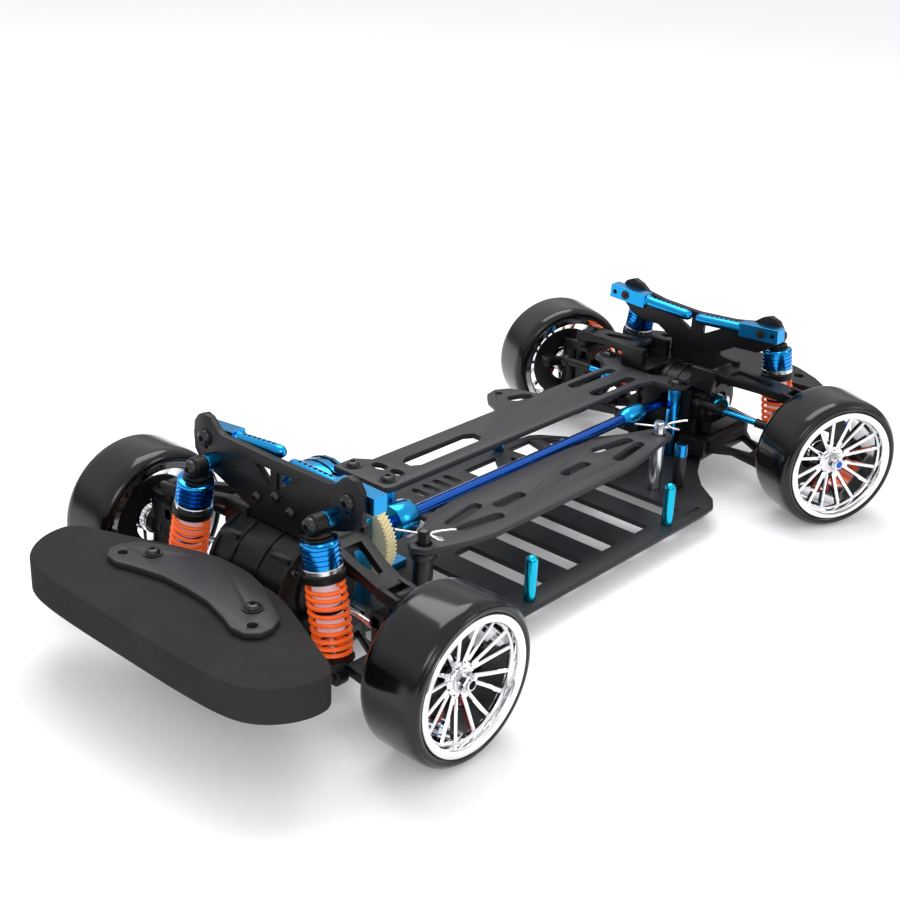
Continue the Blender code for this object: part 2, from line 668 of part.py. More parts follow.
def build_corner(mats, end, left):
    tag = f"{end}_{'left' if left else 'right'}"
    s = 1 if left else -1
    axle = ENDS[end]["axle"]
    to = corner(end, left)
    pivot_in = (s * ARM_IN[0], axle, ARM_IN[1])
    pivot_top = (s * ARM_IN[0], axle, ARM_IN[1] + ARM_RISE)
    pivot_out = (s * ARM_OUT[0], axle, ARM_OUT[1])
    kingpin = (s * KINGPIN_X, axle, AXLE_Z)
    swivel = turn(0.0 if end == "front" else REAR_TURN, "Z", kingpin)
    place(f"lower_arm_{tag}", moved(lower_arm(end), to), mats["plastic"], pivot_in)
    place(f"upper_arm_{tag}", moved(upper_arm(), to), mats["plastic"], pivot_top)
    arm_colour = mats["blue"] if end == "front" else mats["plastic"]
    place(f"hub_carrier_{tag}", moved(hub_carrier(), to), arm_colour, pivot_out)
    place(f"knuckle_{tag}", moved(knuckle(), swivel @ to), mats["plastic"], kingpin)
    place(f"rim_{tag}", moved(rim(), swivel @ to), mats["chrome"], kingpin)
    place(f"tyre_{tag}", moved(tyre(), swivel @ to), mats["rubber"], kingpin)


def build_shock(mats, end, left):
    tag = f"{end}_{'left' if left else 'right'}"
    s = 1 if left else -1
    length = shock_length(end)
    to = shock_frame(end, left)
    top = (s * ENDS[end]["top"][0], ENDS[end]["shock"], ENDS[end]["top"][1])
    place(f"shock_body_{tag}", moved(shock_body(), to), mats["blue"], top)
    place(f"shock_rod_{tag}", moved(shock_rod(length), to), mats["steel"], top)
    place(f"spring_{tag}", moved(spring(length), to), mats["orange"], top)


def build_post(mats, end, left):
    px, pz, py, _ = POST_PIVOT[end]
    mirror = Matrix.Diagonal((1 if left else -1, 1, 1, 1))
    s = 1 if left else -1
    name = f"body_post_{end}_{'left' if left else 'right'}"
    place(name, moved(body_post(end, left), mirror), mats["blue"], (s * px, py, pz))


def main():
    clear_scene()
    mats = {
        "carbon": material("carbon_plate", (0.045, 0.045, 0.05), 0.45),
        "plastic": material("black_nylon", (0.02, 0.02, 0.022), 0.5),
        "foam": material("charcoal_foam", (0.035, 0.033, 0.035), 0.95),
        "blue": material("blue_anodised", (0.02, 0.25, 0.75), 0.28, 1.0),
        "deep_blue": material("deep_blue_anodised", (0.01, 0.1, 0.5), 0.3, 1.0),
        "cyan": material("cyan_anodised", (0.02, 0.5, 0.8), 0.3, 1.0),
        "cream": material("cream_nylon", (0.75, 0.68, 0.42), 0.5),
        "steel": material("bright_steel", (0.6, 0.6, 0.62), 0.25, 1.0),
        "chrome": material("chrome_plating", (0.85, 0.85, 0.87), 0.08, 1.0),
        "rubber": material("slick_tyre", (0.012, 0.012, 0.013), 0.22),
        "orange": material("orange_spring", (0.9, 0.13, 0.01), 0.35),
    }
    build_fixed(mats)
    build_drive(mats)
    for end in ENDS:
        for left in (True, False):
            build_corner(mats, end, left)
            build_shock(mats, end, left)
            build_post(mats, end, left)


main()
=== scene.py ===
"""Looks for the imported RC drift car: materials, detailed pieces, fasteners, light and camera.

Lengths are in millimetres in the CAD's drawing frame. MM and CENTRE_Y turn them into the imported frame.
"""

import json
import math

import bmesh
import bpy
from mathutils import Matrix, Vector

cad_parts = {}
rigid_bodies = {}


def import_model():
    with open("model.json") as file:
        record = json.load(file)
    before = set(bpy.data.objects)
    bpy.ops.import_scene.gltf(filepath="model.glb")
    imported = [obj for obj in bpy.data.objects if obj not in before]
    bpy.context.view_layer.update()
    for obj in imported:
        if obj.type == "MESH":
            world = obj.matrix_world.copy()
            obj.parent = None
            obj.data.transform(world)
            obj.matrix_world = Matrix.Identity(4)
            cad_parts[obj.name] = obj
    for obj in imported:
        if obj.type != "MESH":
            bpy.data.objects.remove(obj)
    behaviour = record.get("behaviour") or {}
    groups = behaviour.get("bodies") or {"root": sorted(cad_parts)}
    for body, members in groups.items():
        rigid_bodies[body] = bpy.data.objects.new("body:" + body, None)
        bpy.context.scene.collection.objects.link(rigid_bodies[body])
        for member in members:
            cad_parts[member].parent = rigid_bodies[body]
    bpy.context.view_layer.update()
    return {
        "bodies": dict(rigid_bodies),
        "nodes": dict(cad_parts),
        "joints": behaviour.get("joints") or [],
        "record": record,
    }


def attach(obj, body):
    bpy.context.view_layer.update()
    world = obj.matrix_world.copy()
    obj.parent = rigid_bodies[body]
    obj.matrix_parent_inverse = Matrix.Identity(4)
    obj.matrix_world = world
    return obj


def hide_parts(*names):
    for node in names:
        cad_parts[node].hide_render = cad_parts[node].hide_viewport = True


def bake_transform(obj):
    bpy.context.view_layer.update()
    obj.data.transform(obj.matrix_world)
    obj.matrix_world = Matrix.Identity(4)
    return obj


MM = 0.001
CENTRE_Y = 2.5
ORIGIN, ALONG_X, ALONG_Y, UP = (0, 0, 0), (1, 0, 0), (0, 1, 0), (0, 0, 1)

# The CAD's driving dimensions
FRONT_AXLE, REAR_AXLE = -126.0, 137.0
AXLE_Z, LIP_X, KINGPIN_X = 30.5, 94.3, 70.0
REAR_TURN = math.radians(-26.0)
SHAFT_Z = 36.5
LEVER_X, LEVER_BACK = KINGPIN_X - 0.9, 14
TIE_ROD_IN, TIE_ROD_OUT = 16, 63
POST_FOOT = 11.8
SPOKE_PAIRS = 8

# Each end: the tower's two faces, the side its shocks stand on and their Y, the shock eyes (x, z),
# the gearbox's radius and ribs, and the tower's small screws (x and z of the pair, z of the middle one)
ENDS = {
    "front": {"axle": FRONT_AXLE, "tower": (-130.0, -127.0), "side": -1, "shock": -138.6,
              "top": (31.5, 72.0), "low": (42.5, 16.93), "housing": 19.3,
              "ribs": (-18.2, -8.5, 5.0, 18.2), "screws": (9, 64.8, 68.2)},
    "rear": {"axle": REAR_AXLE, "tower": (141.5, 144.5), "side": 1, "shock": 152.0,
             "top": (38.0, 71.5), "low": (45.5, 16.54), "housing": 13.5,
             "ribs": (-18.2, -12.5, -6.5, 0.0, 6.5, 12.5, 18.2), "screws": (9, 57, 60)},
}
# The folded posts' pivots: x, z, y and degrees of rise; the front left one lies lower
POST_PIVOT = {"front": (37.5, 79.0, -123.3, 5.5), "rear": (38.4, 77.0, 137.8, -3.5)}
LOW_POST_RISE = 0.5
STRAP_POSTS = ((23.0, -75.0), (24.0, 80.0))

CORNERS = [(end, left) for end in ENDS for left in (True, False)]


def tag_of(end, left):
    return f"{end}_{'left' if left else 'right'}"


# ---------------------------------------------------------------- materials

def material(name, colour, roughness, metallic=0.0, coat=0.0, bump=None, mottle=0.0, clear=0.0,
             shine=0.5, glow=0.0):
    """A Principled material.

    bump is (scale, distance in metres) of its grain, mottle the share by which its tone changes,
    clear its transmission, shine its specular level and glow its emission.
    """
    made = bpy.data.materials.new(name)
    made.use_nodes = True
    nodes, links = made.node_tree.nodes, made.node_tree.links
    shader = nodes["Principled BSDF"]
    shader.inputs["Base Color"].default_value = (*colour, 1.0)
    shader.inputs["Roughness"].default_value = roughness
    shader.inputs["Metallic"].default_value = metallic
    shader.inputs["Coat Weight"].default_value = coat
    shader.inputs["Coat Roughness"].default_value = 0.08
    shader.inputs["Transmission Weight"].default_value = clear
    shader.inputs["Specular IOR Level"].default_value = shine
    shader.inputs["Emission Color"].default_value = (*colour, 1.0)
    shader.inputs["Emission Strength"].default_value = glow
    place = nodes.new("ShaderNodeTexCoord")
    if mottle:
        noise = nodes.new("ShaderNodeTexNoise")
        noise.inputs["Scale"].default_value = 60.0
        noise.inputs["Detail"].default_value = 4.0
        ramp = nodes.new("ShaderNodeValToRGB")
        ramp.color_ramp.elements[0].color = (*[c * (1 - mottle) for c in colour], 1.0)
        ramp.color_ramp.elements[1].color = (*[min(1.0, c * (1 + mottle)) for c in colour], 1.0)
        links.new(place.outputs["Object"], noise.inputs["Vector"])
        links.new(noise.outputs["Fac"], ramp.inputs["Fac"])
        links.new(ramp.outputs["Color"], shader.inputs["Base Color"])
    if bump:
        grain = nodes.new("ShaderNodeTexNoise")
        grain.inputs["Scale"].default_value = bump[0]
        grain.inputs["Detail"].default_value = 3.0
        height = nodes.new("ShaderNodeBump")
        height.inputs["Distance"].default_value = bump[1]
        height.inputs["Strength"].default_value = 0.6
        links.new(place.outputs["Object"], grain.inputs["Vector"])
        links.new(grain.outputs["Fac"], height.inputs["Height"])
        links.new(height.outputs["Normal"], shader.inputs["Normal"])
    return made


def make_materials():
    return {
        "carbon": material("carbon_plate", (0.024, 0.024, 0.027), 0.5, bump=(1400, 0.00005), mottle=0.2,
                           shine=0.4),
        "chassis": material("chassis_plate_black", (0.013, 0.013, 0.015), 0.48, bump=(1400, 0.00005),
                            mottle=0.2, shine=0.35),
        "tower": material("tower_plate_black", (0.005, 0.005, 0.006), 0.42, bump=(1400, 0.00003), shine=0.3),
        "plastic": material("black_nylon", (0.004, 0.004, 0.0045), 0.42, bump=(900, 0.00008), shine=0.28),
        "foam": material("charcoal_foam", (0.03, 0.0275, 0.028), 1.0, bump=(420, 0.0005), mottle=0.3,
                         shine=0.15),
        "tyre": material("slick_tyre", (0.0025, 0.0025, 0.003), 0.16, coat=0.2, shine=0.3),
        "chrome": material("chrome_plating", (0.92, 0.92, 0.93), 0.06, 1.0),
        "steel": material("bright_steel", (0.72, 0.72, 0.74), 0.18, 1.0),
        "bolt": material("black_steel", (0.008, 0.008, 0.009), 0.3, shine=0.5),
        # painted shade: a near-black matte colour laid on sockets, holes and grooves in place of their shade
        "recess_shade": material("painted_recess_shade", (0.001, 0.001, 0.001), 0.8, shine=0.1),
        "blue": material("blue_anodised", (0.008, 0.3, 0.66), 0.24, 1.0, coat=0.2),
        "cap": material("shock_blue", (0.006, 0.27, 0.68), 0.14, 1.0, coat=0.3),
        "deep": material("deep_blue_anodised", (0.008, 0.1, 0.5), 0.22, 1.0, coat=0.3),
        "cyan": material("cyan_anodised", (0.006, 0.45, 0.66), 0.25, 1.0, coat=0.2),
        # painted glow: the spring's emission brightens its orange beyond what the lamps give
        "orange": material("orange_spring", (1.0, 0.14, 0.012), 0.3, glow=0.12),
        "cream": material("cream_nylon", (0.78, 0.7, 0.42), 0.5),
        # painted glow: the clear body's emission brightens it beyond what the lamps give
        "clear": material("clear_shock_body_painted_glow", (0.9, 0.8, 0.85), 0.12, clear=0.3, glow=0.1),
        "red": material("red_enamel", (0.36, 0.008, 0.008), 0.3),
    }


# ---------------------------------------------------------------- shapes

class Piece:
    """Shapes gathered into one mesh, in millimetres, moved by base as they are added."""

    def __init__(self, base=None):
        self.bm = bmesh.new()
        self.mats = []
        self.base = base or Matrix.Identity(4)

    def face(self, corners, index):
        if len({v.index for v in corners}) == len(corners):
            made = self.bm.faces.new(corners)
            made.material_index = index
            made.smooth = True

    def skin(self, loops, mat, closed=False, wrap=True, capped=False):
        """Faces between loops of equal length.

        closed joins the last loop to the first, wrap closes each loop and capped fills both ends.
        """
        if mat not in self.mats:
            self.mats.append(mat)
        index = self.mats.index(mat)
        rows = [[self.bm.verts.new(self.base @ Vector(p)) for p in loop] for loop in loops]
        self.bm.verts.index_update()
        count = len(rows[0])
        follow = rows[1:] + rows[:1] if closed else rows[1:]
        for a, b in zip(rows, follow):
            for i in range(count if wrap else count - 1):
                j = (i + 1) % count
                self.face((a[i], a[j], b[j], b[i]), index)
        if capped:
            self.face(rows[0], index)
            self.face(rows[-1], index)

    def lathe(self, profile, at, axis, mat, steps=40, ring=False):
        """(along, radius) points turned round the axis.

        ring closes the profile on itself; without it both ends are capped.
        """
        w = Vector(axis).normalized()
        u = w.orthogonal().normalized()
        v = w.cross(u)
        if not ring:
            profile = [(profile[0][0], 0.0), *profile, (profile[-1][0], 0.0)]
        loops = []
        for k in range(steps):
            t = 2 * math.pi * k / steps
            out = math.cos(t) * u + math.sin(t) * v
            loops.append([Vector(at) + a * w + r * out for a, r in profile])
        self.skin(loops, mat, closed=True, wrap=ring)

    def rod(self, r, start, end, mat, steps=24, edge=0.0):
        a, b = Vector(start), Vector(end)
        length = (b - a).length
        if edge:
            profile = [(0, r - edge), (edge, r), (length - edge, r), (length, r - edge)]
        else:
            profile = [(0, r), (length, r)]
        self.lathe(profile, a, b - a, mat, steps)

    def ball(self, r, at, mat, steps=20):
        profile = [(-r * math.cos(math.pi * k / 12), r * math.sin(math.pi * k / 12)) for k in range(1, 12)]
        self.lathe(profile, at, UP, mat, steps)

    def box(self, x0, x1, y0, y1, z0, z1, mat):
        self.prism([(x0, y0), (x1, y0), (x1, y1), (x0, y1)], z0, z1, mat)

    def prism(self, outline, z0, z1, mat):
        self.skin([[(x, y, z) for x, y in outline] for z in (z0, z1)], mat, capped=True)

    def tube(self, points, r, mat, sides=10):
        """A round wire through these points."""
        pts = [Vector(p) for p in points]
        along = [(b - a).normalized() for a, b in zip(pts, pts[1:])]
        across = along[0].orthogonal().normalized()
        loops = []
        for i, p in enumerate(pts):
            if i == 0:
                t = along[0]
            elif i == len(pts) - 1:
                t = along[-1]
            else:
                t = (along[i - 1] + along[i]).normalized()
            across = (across - across.dot(t) * t).normalized()
            other = t.cross(across)
            loop = []
            for k in range(sides):
                angle = 2 * math.pi * k / sides
                loop.append(p + r * (math.cos(angle) * across + math.sin(angle) * other))
            loops.append(loop)
        self.skin(loops, mat, capped=True)

    def screw(self, at, mat, r=2.7, axis=UP, height=1.5, socket_shade=None):
        """A button head with a hex recess; the socket is a thin near-black disc, painted shade in place of a
        hole.
        """
        top = [(0, r), (height * 0.45, r * 0.97), (height * 0.8, r * 0.8), (height, r * 0.55)]
        self.lathe(top, at, axis, mat, 24)
        up = Vector(axis).normalized() * (height + 0.02)
        # painted shade: the socket's disc takes the near-black recess colour
        self.lathe([(0, r * 0.42), (0.03, r * 0.42)], Vector(at) + up, axis, socket_shade or mat, 6)

    def make(self, name, body, replaces=(), bevel=0.0, blend=None, sharp=38):
        bmesh.ops.remove_doubles(self.bm, verts=self.bm.verts, dist=1e-4)
        bmesh.ops.recalc_face_normals(self.bm, faces=self.bm.faces)
        self.bm.transform(Matrix.Translation((0, CENTRE_Y * MM, 0)) @ Matrix.Scale(MM, 4))
        mesh = bpy.data.meshes.new(name)
        self.bm.to_mesh(mesh)
        self.bm.free()
        for mat in self.mats:
            mesh.materials.append(mat)
        mesh.shade_smooth()
        mesh.set_sharp_from_angle(angle=math.radians(sharp))
        obj = bpy.data.objects.new(name, mesh)
        bpy.context.scene.collection.objects.link(obj)
        if bevel:
            soften(obj, bevel)
        if blend:
            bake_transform(obj)
        else:
            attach(obj, body)
        if replaces:
            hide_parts(*replaces)
        return obj


def soften(obj, width):
    edge = obj.modifiers.new("edges", "BEVEL")
    edge.width = width * MM
    edge.segments = 2
    edge.limit_method = "ANGLE"
    edge.angle_limit = math.radians(45)
    edge.use_clamp_overlap = True
    edge.harden_normals = True


def shift(x, y, z):
    return Matrix.Translation((x, y, z))


def turn(angle, axis, about=(0.0, 0.0, 0.0)):
    at = Vector(about)
    return Matrix.Translation(at) @ Matrix.Rotation(angle, 4, axis) @ Matrix.Translation(-at)


def corner(end, left):
    """From the front-left drawing, axle at Y = 0, to this corner."""
    flip = Matrix.Diagonal((1 if left else -1, 1 if end == "front" else -1, 1, 1))
    return shift(0, ENDS[end]["axle"], 0) @ flip


def wheel_frame(end, left):
    s = 1 if left else -1
    angle = 0.0 if end == "front" else REAR_TURN
    return turn(angle, "Z", (s * KINGPIN_X, ENDS[end]["axle"], 0)) @ corner(end, left)


def shock_frame(end, left):
    (tx, tz), (lx, lz) = ENDS[end]["top"], ENDS[end]["low"]
    s = 1 if left else -1
    lean = math.atan2(lx - tx, tz - lz)
    return shift(s * tx, ENDS[end]["shock"], tz) @ Matrix.Rotation(-s * lean, 4, "Y")


def shock_length(end):
    (tx, tz), (lx, lz) = ENDS[end]["top"], ENDS[end]["low"]
    return math.hypot(lx - tx, tz - lz)


def rounded(outline, times=2):
    """Corner cutting, which turns a drawn outline into a flowing one."""
    for _ in range(times):
        cut = []
        for (ax, ay), (bx, by) in zip(outline, outline[1:] + outline[:1]):
            cut.append((ax * 0.75 + bx * 0.25, ay * 0.75 + by * 0.25))
            cut.append((ax * 0.25 + bx * 0.75, ay * 0.25 + by * 0.75))
        outline = cut
    return outline


def both_sides(half):
    return list(half) + [(-x, y) for x, y in reversed(half) if x > 1e-6]


# ---------------------------------------------------------------- wheels

def add_tyre(mats, end, left):
    tag = tag_of(end, left)
    profile = [
        (-0.6, 25.9), (0.1, 26.5), (0.3, 27.4), (0.1, 28.2), (-0.35, 28.75), (-0.75, 28.8), (-0.95, 29.05),
        (-1.5, 29.65), (-2.5, 30.15), (-3.8, 30.42), (-5.5, 30.5), (-12.5, 30.5), (-19.5, 30.5),
        (-21.2, 30.42), (-22.5, 30.15), (-23.5, 29.65), (-24.6, 28.9), (-25.2, 27.8), (-25.1, 26.6),
        (-24.4, 25.9),
    ]
    piece = Piece(wheel_frame(end, left) @ shift(LIP_X, 0, AXLE_Z))
    piece.lathe(profile, ORIGIN, ALONG_X, mats["tyre"], 96, ring=True)
    piece.make(f"tyre_skin_{tag}", f"wheel_{tag}", (f"tyre_{tag}",), sharp=50)


def spoke(piece, mat, path):
    """A bar with a ridged front through (radius, sideways offset, depth, width) stations."""
    loops = []
    for r, off, x, width in path:
        w = width / 2
        section = [(x - 2.2, off - w), (x - 0.4, off - w), (x, off - w * 0.55), (x, off + w * 0.55),
                   (x - 0.4, off + w), (x - 2.2, off + w)]
        loops.append([(px, py, r) for px, py in section])
    piece.skin(loops, mat, capped=True)


def add_rim(mats, end, left):
    tag = tag_of(end, left)
    chrome = mats["chrome"]
    frame = wheel_frame(end, left) @ shift(LIP_X, 0, AXLE_Z)
    piece = Piece(frame)
    profile = [
        (-0.9, 25.9), (0.1, 25.8), (0.45, 25.5), (0.5, 25.1), (0.3, 24.6), (0.15, 23.1), (-0.1, 22.75),
        (-0.9, 22.5), (-2.4, 22.3), (-2.9, 21.7), (-3.3, 21.6), (-5.2, 21.6), (-6.0, 21.9), (-24.2, 22.6),
        (-25.0, 23.4), (-25.0, 25.7), (-24.2, 25.9), (-23.0, 25.2), (-2.0, 25.2),
    ]
    piece.lathe(profile, ORIGIN, ALONG_X, chrome, 96, ring=True)
    hub = [(-14.0, 6.4), (-8.5, 6.6), (-7.0, 6.3), (-6.3, 5.4), (-6.1, 4.4), (-6.1, 3.9)]
    piece.lathe(hub, ORIGIN, ALONG_X, chrome, 48)
    for k in range(SPOKE_PAIRS):
        piece.base = frame @ Matrix.Rotation(2 * math.pi * (k + 0.5) / SPOKE_PAIRS, 4, "X")
        spoke(piece, chrome, [(5.0, 0, -6.7, 2.8), (7.5, 0, -6.5, 2.6), (9.0, 0, -6.3, 2.2)])
        for s in (-1, 1):
            path = []
            for i in range(6):
                t = i / 5
                path.append((6.8 + 15.4 * t, s * (1.0 + 3.0 * t ** 1.1), -6.3 + 3.3 * t, 1.75 - 0.15 * t))
            spoke(piece, chrome, path)
        piece.rod(1.0, (-7.4, 0, 5.6), (-6.0, 0, 5.6), chrome, steps=12)
    piece.base = frame
    nut = mats["steel"]
    piece.lathe([(-6.4, 4.4), (-5.6, 4.4), (-5.4, 4.1)], ORIGIN, ALONG_X, nut, 32)
    piece.lathe([(-5.6, 3.5), (-2.6, 3.5), (-2.2, 3.1)], ORIGIN, ALONG_X, nut, 6)
    piece.lathe([(-2.4, 2.5), (-1.6, 2.4), (-1.4, 2.1)], ORIGIN, ALONG_X, nut, 24)
    # the front axle end's near-black disc is painted shade of its hole
    insert = mats["recess_shade"] if end == "front" else mats["deep"]
    piece.lathe([(-1.5, 1.6), (-1.34, 1.6)], ORIGIN, ALONG_X, insert, 20)
    disc = [(-19.2, 18.5), (-18.5, 18.5), (-18.5, 9.5), (-19.2, 9.5)]
    piece.lathe(disc, ORIGIN, ALONG_X, mats["bolt"], 48, ring=True)
    piece.make(f"rim_face_{tag}", f"wheel_{tag}", (f"rim_{tag}",), sharp=40)


def add_knuckle_trim(mats, end, left):
    """Brake calliper, bearing and lever ball, which turn with the knuckle."""
    tag = tag_of(end, left)
    piece = Piece(wheel_frame(end, left) @ shift(0, 0, AXLE_Z))
    x = LIP_X - 15.0
    arc = [math.radians(a) for a in range(-106, -85, 5)]
    outer = [(18.6 * math.cos(a), 18.6 * math.sin(a)) for a in arc]
    inner = [(13.0 * math.cos(a), 13.0 * math.sin(a)) for a in reversed(arc)]
    loops = [[(px, y, z) for y, z in outer + inner] for px in (x - 2.6, x + 3.2)]
    piece.skin(loops, mats["red"], capped=True)
    bearing = [(0, 5.9), (0.5, 6.1), (3.5, 6.1), (3.8, 5.8)]
    piece.lathe(bearing, (KINGPIN_X + 4.2, 0, 0), ALONG_X, mats["steel"], 32)
    piece.rod(2.9, (LEVER_X, LEVER_BACK, 5.2), (LEVER_X, LEVER_BACK, 7.2), mats["bolt"])
    piece.make(f"brake_and_bearing_{tag}", f"knuckle_{tag}", bevel=0.3)


# ---------------------------------------------------------------- shocks

def add_shock(mats, end, left):
    tag = tag_of(end, left)
    frame = shock_frame(end, left)
    length = shock_length(end)
    down = (0, 0, -1)
    body = Piece(frame)
    black, blue = mats["plastic"], mats["cap"]
    body.rod(3.7, (0, -2.7, 0), (0, 2.7, 0), black, edge=0.5)
    neck = [(2.5, 3.0), (3.4, 4.6), (4.0, 4.7), (4.2, 3.9), (4.5, 3.9), (4.7, 5.0), (5.6, 5.2)]
    body.lathe(neck, ORIGIN, down, black)
    grooved = [(5.2, 5.6), (5.5, 6.6), (6.0, 6.95)]
    for a in (7.2, 9.0, 10.8, 12.6):
        grooved += [(a, 6.95), (a + 0.15, 6.45), (a + 0.65, 6.45), (a + 0.8, 6.95)]
    body.lathe(grooved + [(14.9, 6.95), (15.1, 6.6)], ORIGIN, down, blue, 48)
    body.lathe([(15.0, 6.8), (15.3, 7.1), (16.7, 7.1), (17.0, 6.7)], ORIGIN, down, mats["steel"], 48)
    body.lathe([(16.9, 7.1), (17.3, 7.6), (19.9, 7.6), (20.4, 6.6)], ORIGIN, down, black, 48)
    body.lathe([(19.5, 4.9), (38.4, 4.9), (39.0, 4.4)], ORIGIN, down, mats["clear"], 40)
    body.lathe([(28.8, 5.05), (31.8, 5.05)], ORIGIN, down, mats["deep"], 40)
    body.make(f"damper_{tag}", f"shock_{tag}", (f"shock_body_{tag}",))
    low = Piece(frame)
    low.rod(1.3, (0, 0, -37), (0, 0, -length + 2), mats["steel"])
    cup = [(-7.5, 5.0), (-7.1, 6.9), (-6.2, 6.9), (-5.2, 4.6), (-3.6, 3.2), (-2.0, 2.9)]
    low.lathe(cup, (0, 0, -length), down, black)
    low.rod(3.5, (0, -2.4, -length), (0, 2.4, -length), black, edge=0.4)
    low.make(f"damper_rod_{tag}", f"shock_rod_{tag}", (f"shock_rod_{tag}",))
    coil = Piece(frame)
    turns, per_turn = 9.5, 26
    top, bottom = -21.3, -length + 8.2
    points, count = [], int(turns * per_turn)
    for k in range(count + 1):
        t = k / count
        squeeze = t - 0.018 * math.sin(2 * math.pi * t)
        angle = 2 * math.pi * k / per_turn
        r = 6.35 + 0.35 * math.sin(math.pi * min(1.0, 1.15 * t)) - 0.75 * max(0.0, t - 0.8) / 0.2
        points.append((r * math.cos(angle), r * math.sin(angle), top + (bottom - top) * squeeze))
    coil.tube(points, 0.82, mats["orange"], 10)
    ends = [shift(0, CENTRE_Y, 0) @ frame @ Vector((0, 0, z)) * MM for z in (top, bottom)]
    coil.make(f"coil_{tag}", None, (f"spring_{tag}",),
              blend=(f"shock_{tag}", f"shock_rod_{tag}", *ends), sharp=60)


def add_body_post(mats, end, left):
    px, pz, py, rise = POST_PIVOT[end]
    if end == "front" and left:
        rise = LOW_POST_RISE
    side = Matrix.Diagonal((1 if left else -1, 1, 1, 1))
    piece = Piece(side @ shift(px, py, pz) @ Matrix.Rotation(math.radians(rise), 4, "Y"))
    blue, recess_shade = mats["blue"], mats["recess_shade"]
    piece.box(-11.5, 9, -3.2, 3.2, -3.3, 3.3, blue)
    tip = px - 1.2
    pin = [(11.2, 3.1), (12.4, 3.1), (12.8, 2.6), (tip - 3.6, 2.6), (tip - 1.6, 2.3), (tip - 0.4, 1.5),
           (tip, 0.6)]
    piece.lathe(pin, ORIGIN, (-1, 0, 0), blue, 32)
    # painted shade: seven near-black dots stand for the post's holes
    for k in range(7):
        piece.rod(0.75, (-15.2 - 2.6 * k, 0, 2.3), (-15.2 - 2.6 * k, 0, 2.66), recess_shade, steps=12)
    s = ENDS[end]["side"]
    piece.rod(2.3, (0, -s * 3.2, 0), (0, -s * 3.6, 0), mats["bolt"])
    # painted shade: a near-black rod stands for the hole across the post
    piece.rod(1.2, (6.2, -3.3, 0), (6.2, 3.3, 0), recess_shade, steps=16)
    tag = tag_of(end, left)
    piece.make(f"folded_post_{tag}", f"body_post_{tag}", (f"body_post_{tag}",), bevel=0.35)


# ---------------------------------------------------------------- drive line

def add_shaft(mats):
    blue, deep = mats["blue"], mats["deep"]
    front_cup = [(-70.2, 3.0), (-70.0, 7.0), (-69.6, 7.25), (-60.8, 7.25), (-58.8, 6.3), (-57.5, 3.4)]
    rear_cup = [(84, 2.9), (86, 3.9), (88, 4.7), (97.5, 4.7), (98, 4.3)]
    shaft = Piece()
    shaft.rod(2.6, (0, FRONT_AXLE + 9, SHAFT_Z), (0, REAR_AXLE - 9, SHAFT_Z), deep, steps=40)
    shaft.lathe(front_cup, (0, 0, SHAFT_Z), ALONG_Y, blue, 48)
    shaft.lathe(rear_cup, (0, 0, SHAFT_Z), ALONG_Y, blue, 40)
    shaft.make("shaft_and_cups", "drive_shaft", ("drive_shaft",))


def add_spur_gear(mats):
    """Leaning teeth built up in layers, on a blue boss."""
    teeth, layers, lean = 60, 5, 0.03
    tooth = ((0.0, 15.2), (0.3, 15.3), (0.45, 16.3), (0.65, 16.3), (0.8, 15.3))
    loops = []
    for i in range(layers):
        ring = []
        for k in range(teeth):
            for part, r in tooth:
                t = 2 * math.pi * (k + part) / teeth + lean * i
                ring.append((r * math.cos(t), -87.3 + 1.15 * i, SHAFT_Z + r * math.sin(t)))
        loops.append(ring)
    gear = Piece()
    gear.skin(loops, mats["cream"], capped=True)
    gear.rod(6.2, (0, -88.2, SHAFT_Z), (0, -81.6, SHAFT_Z), mats["blue"], edge=0.4)
    gear.make("spur_gear_teeth", "drive_shaft", ("spur_gear",), sharp=30)


def add_dogbone(mats, end, left):
    """The half shaft from the differential out to the axle's cup."""
    s = 1 if left else -1
    tag, axle, steel = tag_of(end, left), ENDS[end]["axle"], mats["steel"]
    inner, outer = (s * 21.5, axle, SHAFT_Z), (s * 63.6, axle, AXLE_Z + 0.6)
    bone = Piece()
    bone.ball(2.0, inner, steel)
    bone.rod(1.2, inner, outer, steel)
    bone.ball(2.2, outer, steel)
    bone.make(f"dogbone_{tag}", f"lower_arm_{tag}")


def add_axle_cup(mats, end, left):
    """The axle's cup, with the uprights and bars of the hub carrier round it."""
    s = 1 if left else -1
    tag, axle, plastic = tag_of(end, left), ENDS[end]["axle"], mats["plastic"]
    cup = Piece()
    cup.lathe([(67.2, 3.6), (67.5, 4.4), (69.5, 4.4)], (0, axle, AXLE_Z), (s, 0, 0), mats["bolt"])
    for y0, y1 in ((-8.6, -5.0), (5.0, 8.6)):
        cup.box(*sorted((s * 54.0, s * 60.0)), axle + y0, axle + y1, 19.6, 45.4, plastic)
    for z0, z1 in ((21.5, 26.0), (39.5, 44.5)):
        cup.box(*sorted((s * 53.0, s * 58.2)), axle - 8.6, axle + 8.6, z0, z1, plastic)
    cup.make(f"axle_cup_{tag}", f"hub_carrier_{tag}", bevel=0.5)


def add_arm_web(mats, left):
    """The web across a rear upper wishbone, falling outwards with it."""
    s = 1 if left else -1
    tag = tag_of("rear", left)
    outline = ((29, -9.2), (29, -2.2), (47, -1.2), (47, -3.0))
    web = Piece(shift(0, REAR_AXLE, 0))
    loops = [[(s * x, y, z - 0.13 * (x - 23)) for x, y in outline] for z in (54.6, 56.2)]
    web.skin(loops, mats["plastic"], capped=True)
    web.make(f"arm_web_{tag}", f"upper_arm_{tag}")


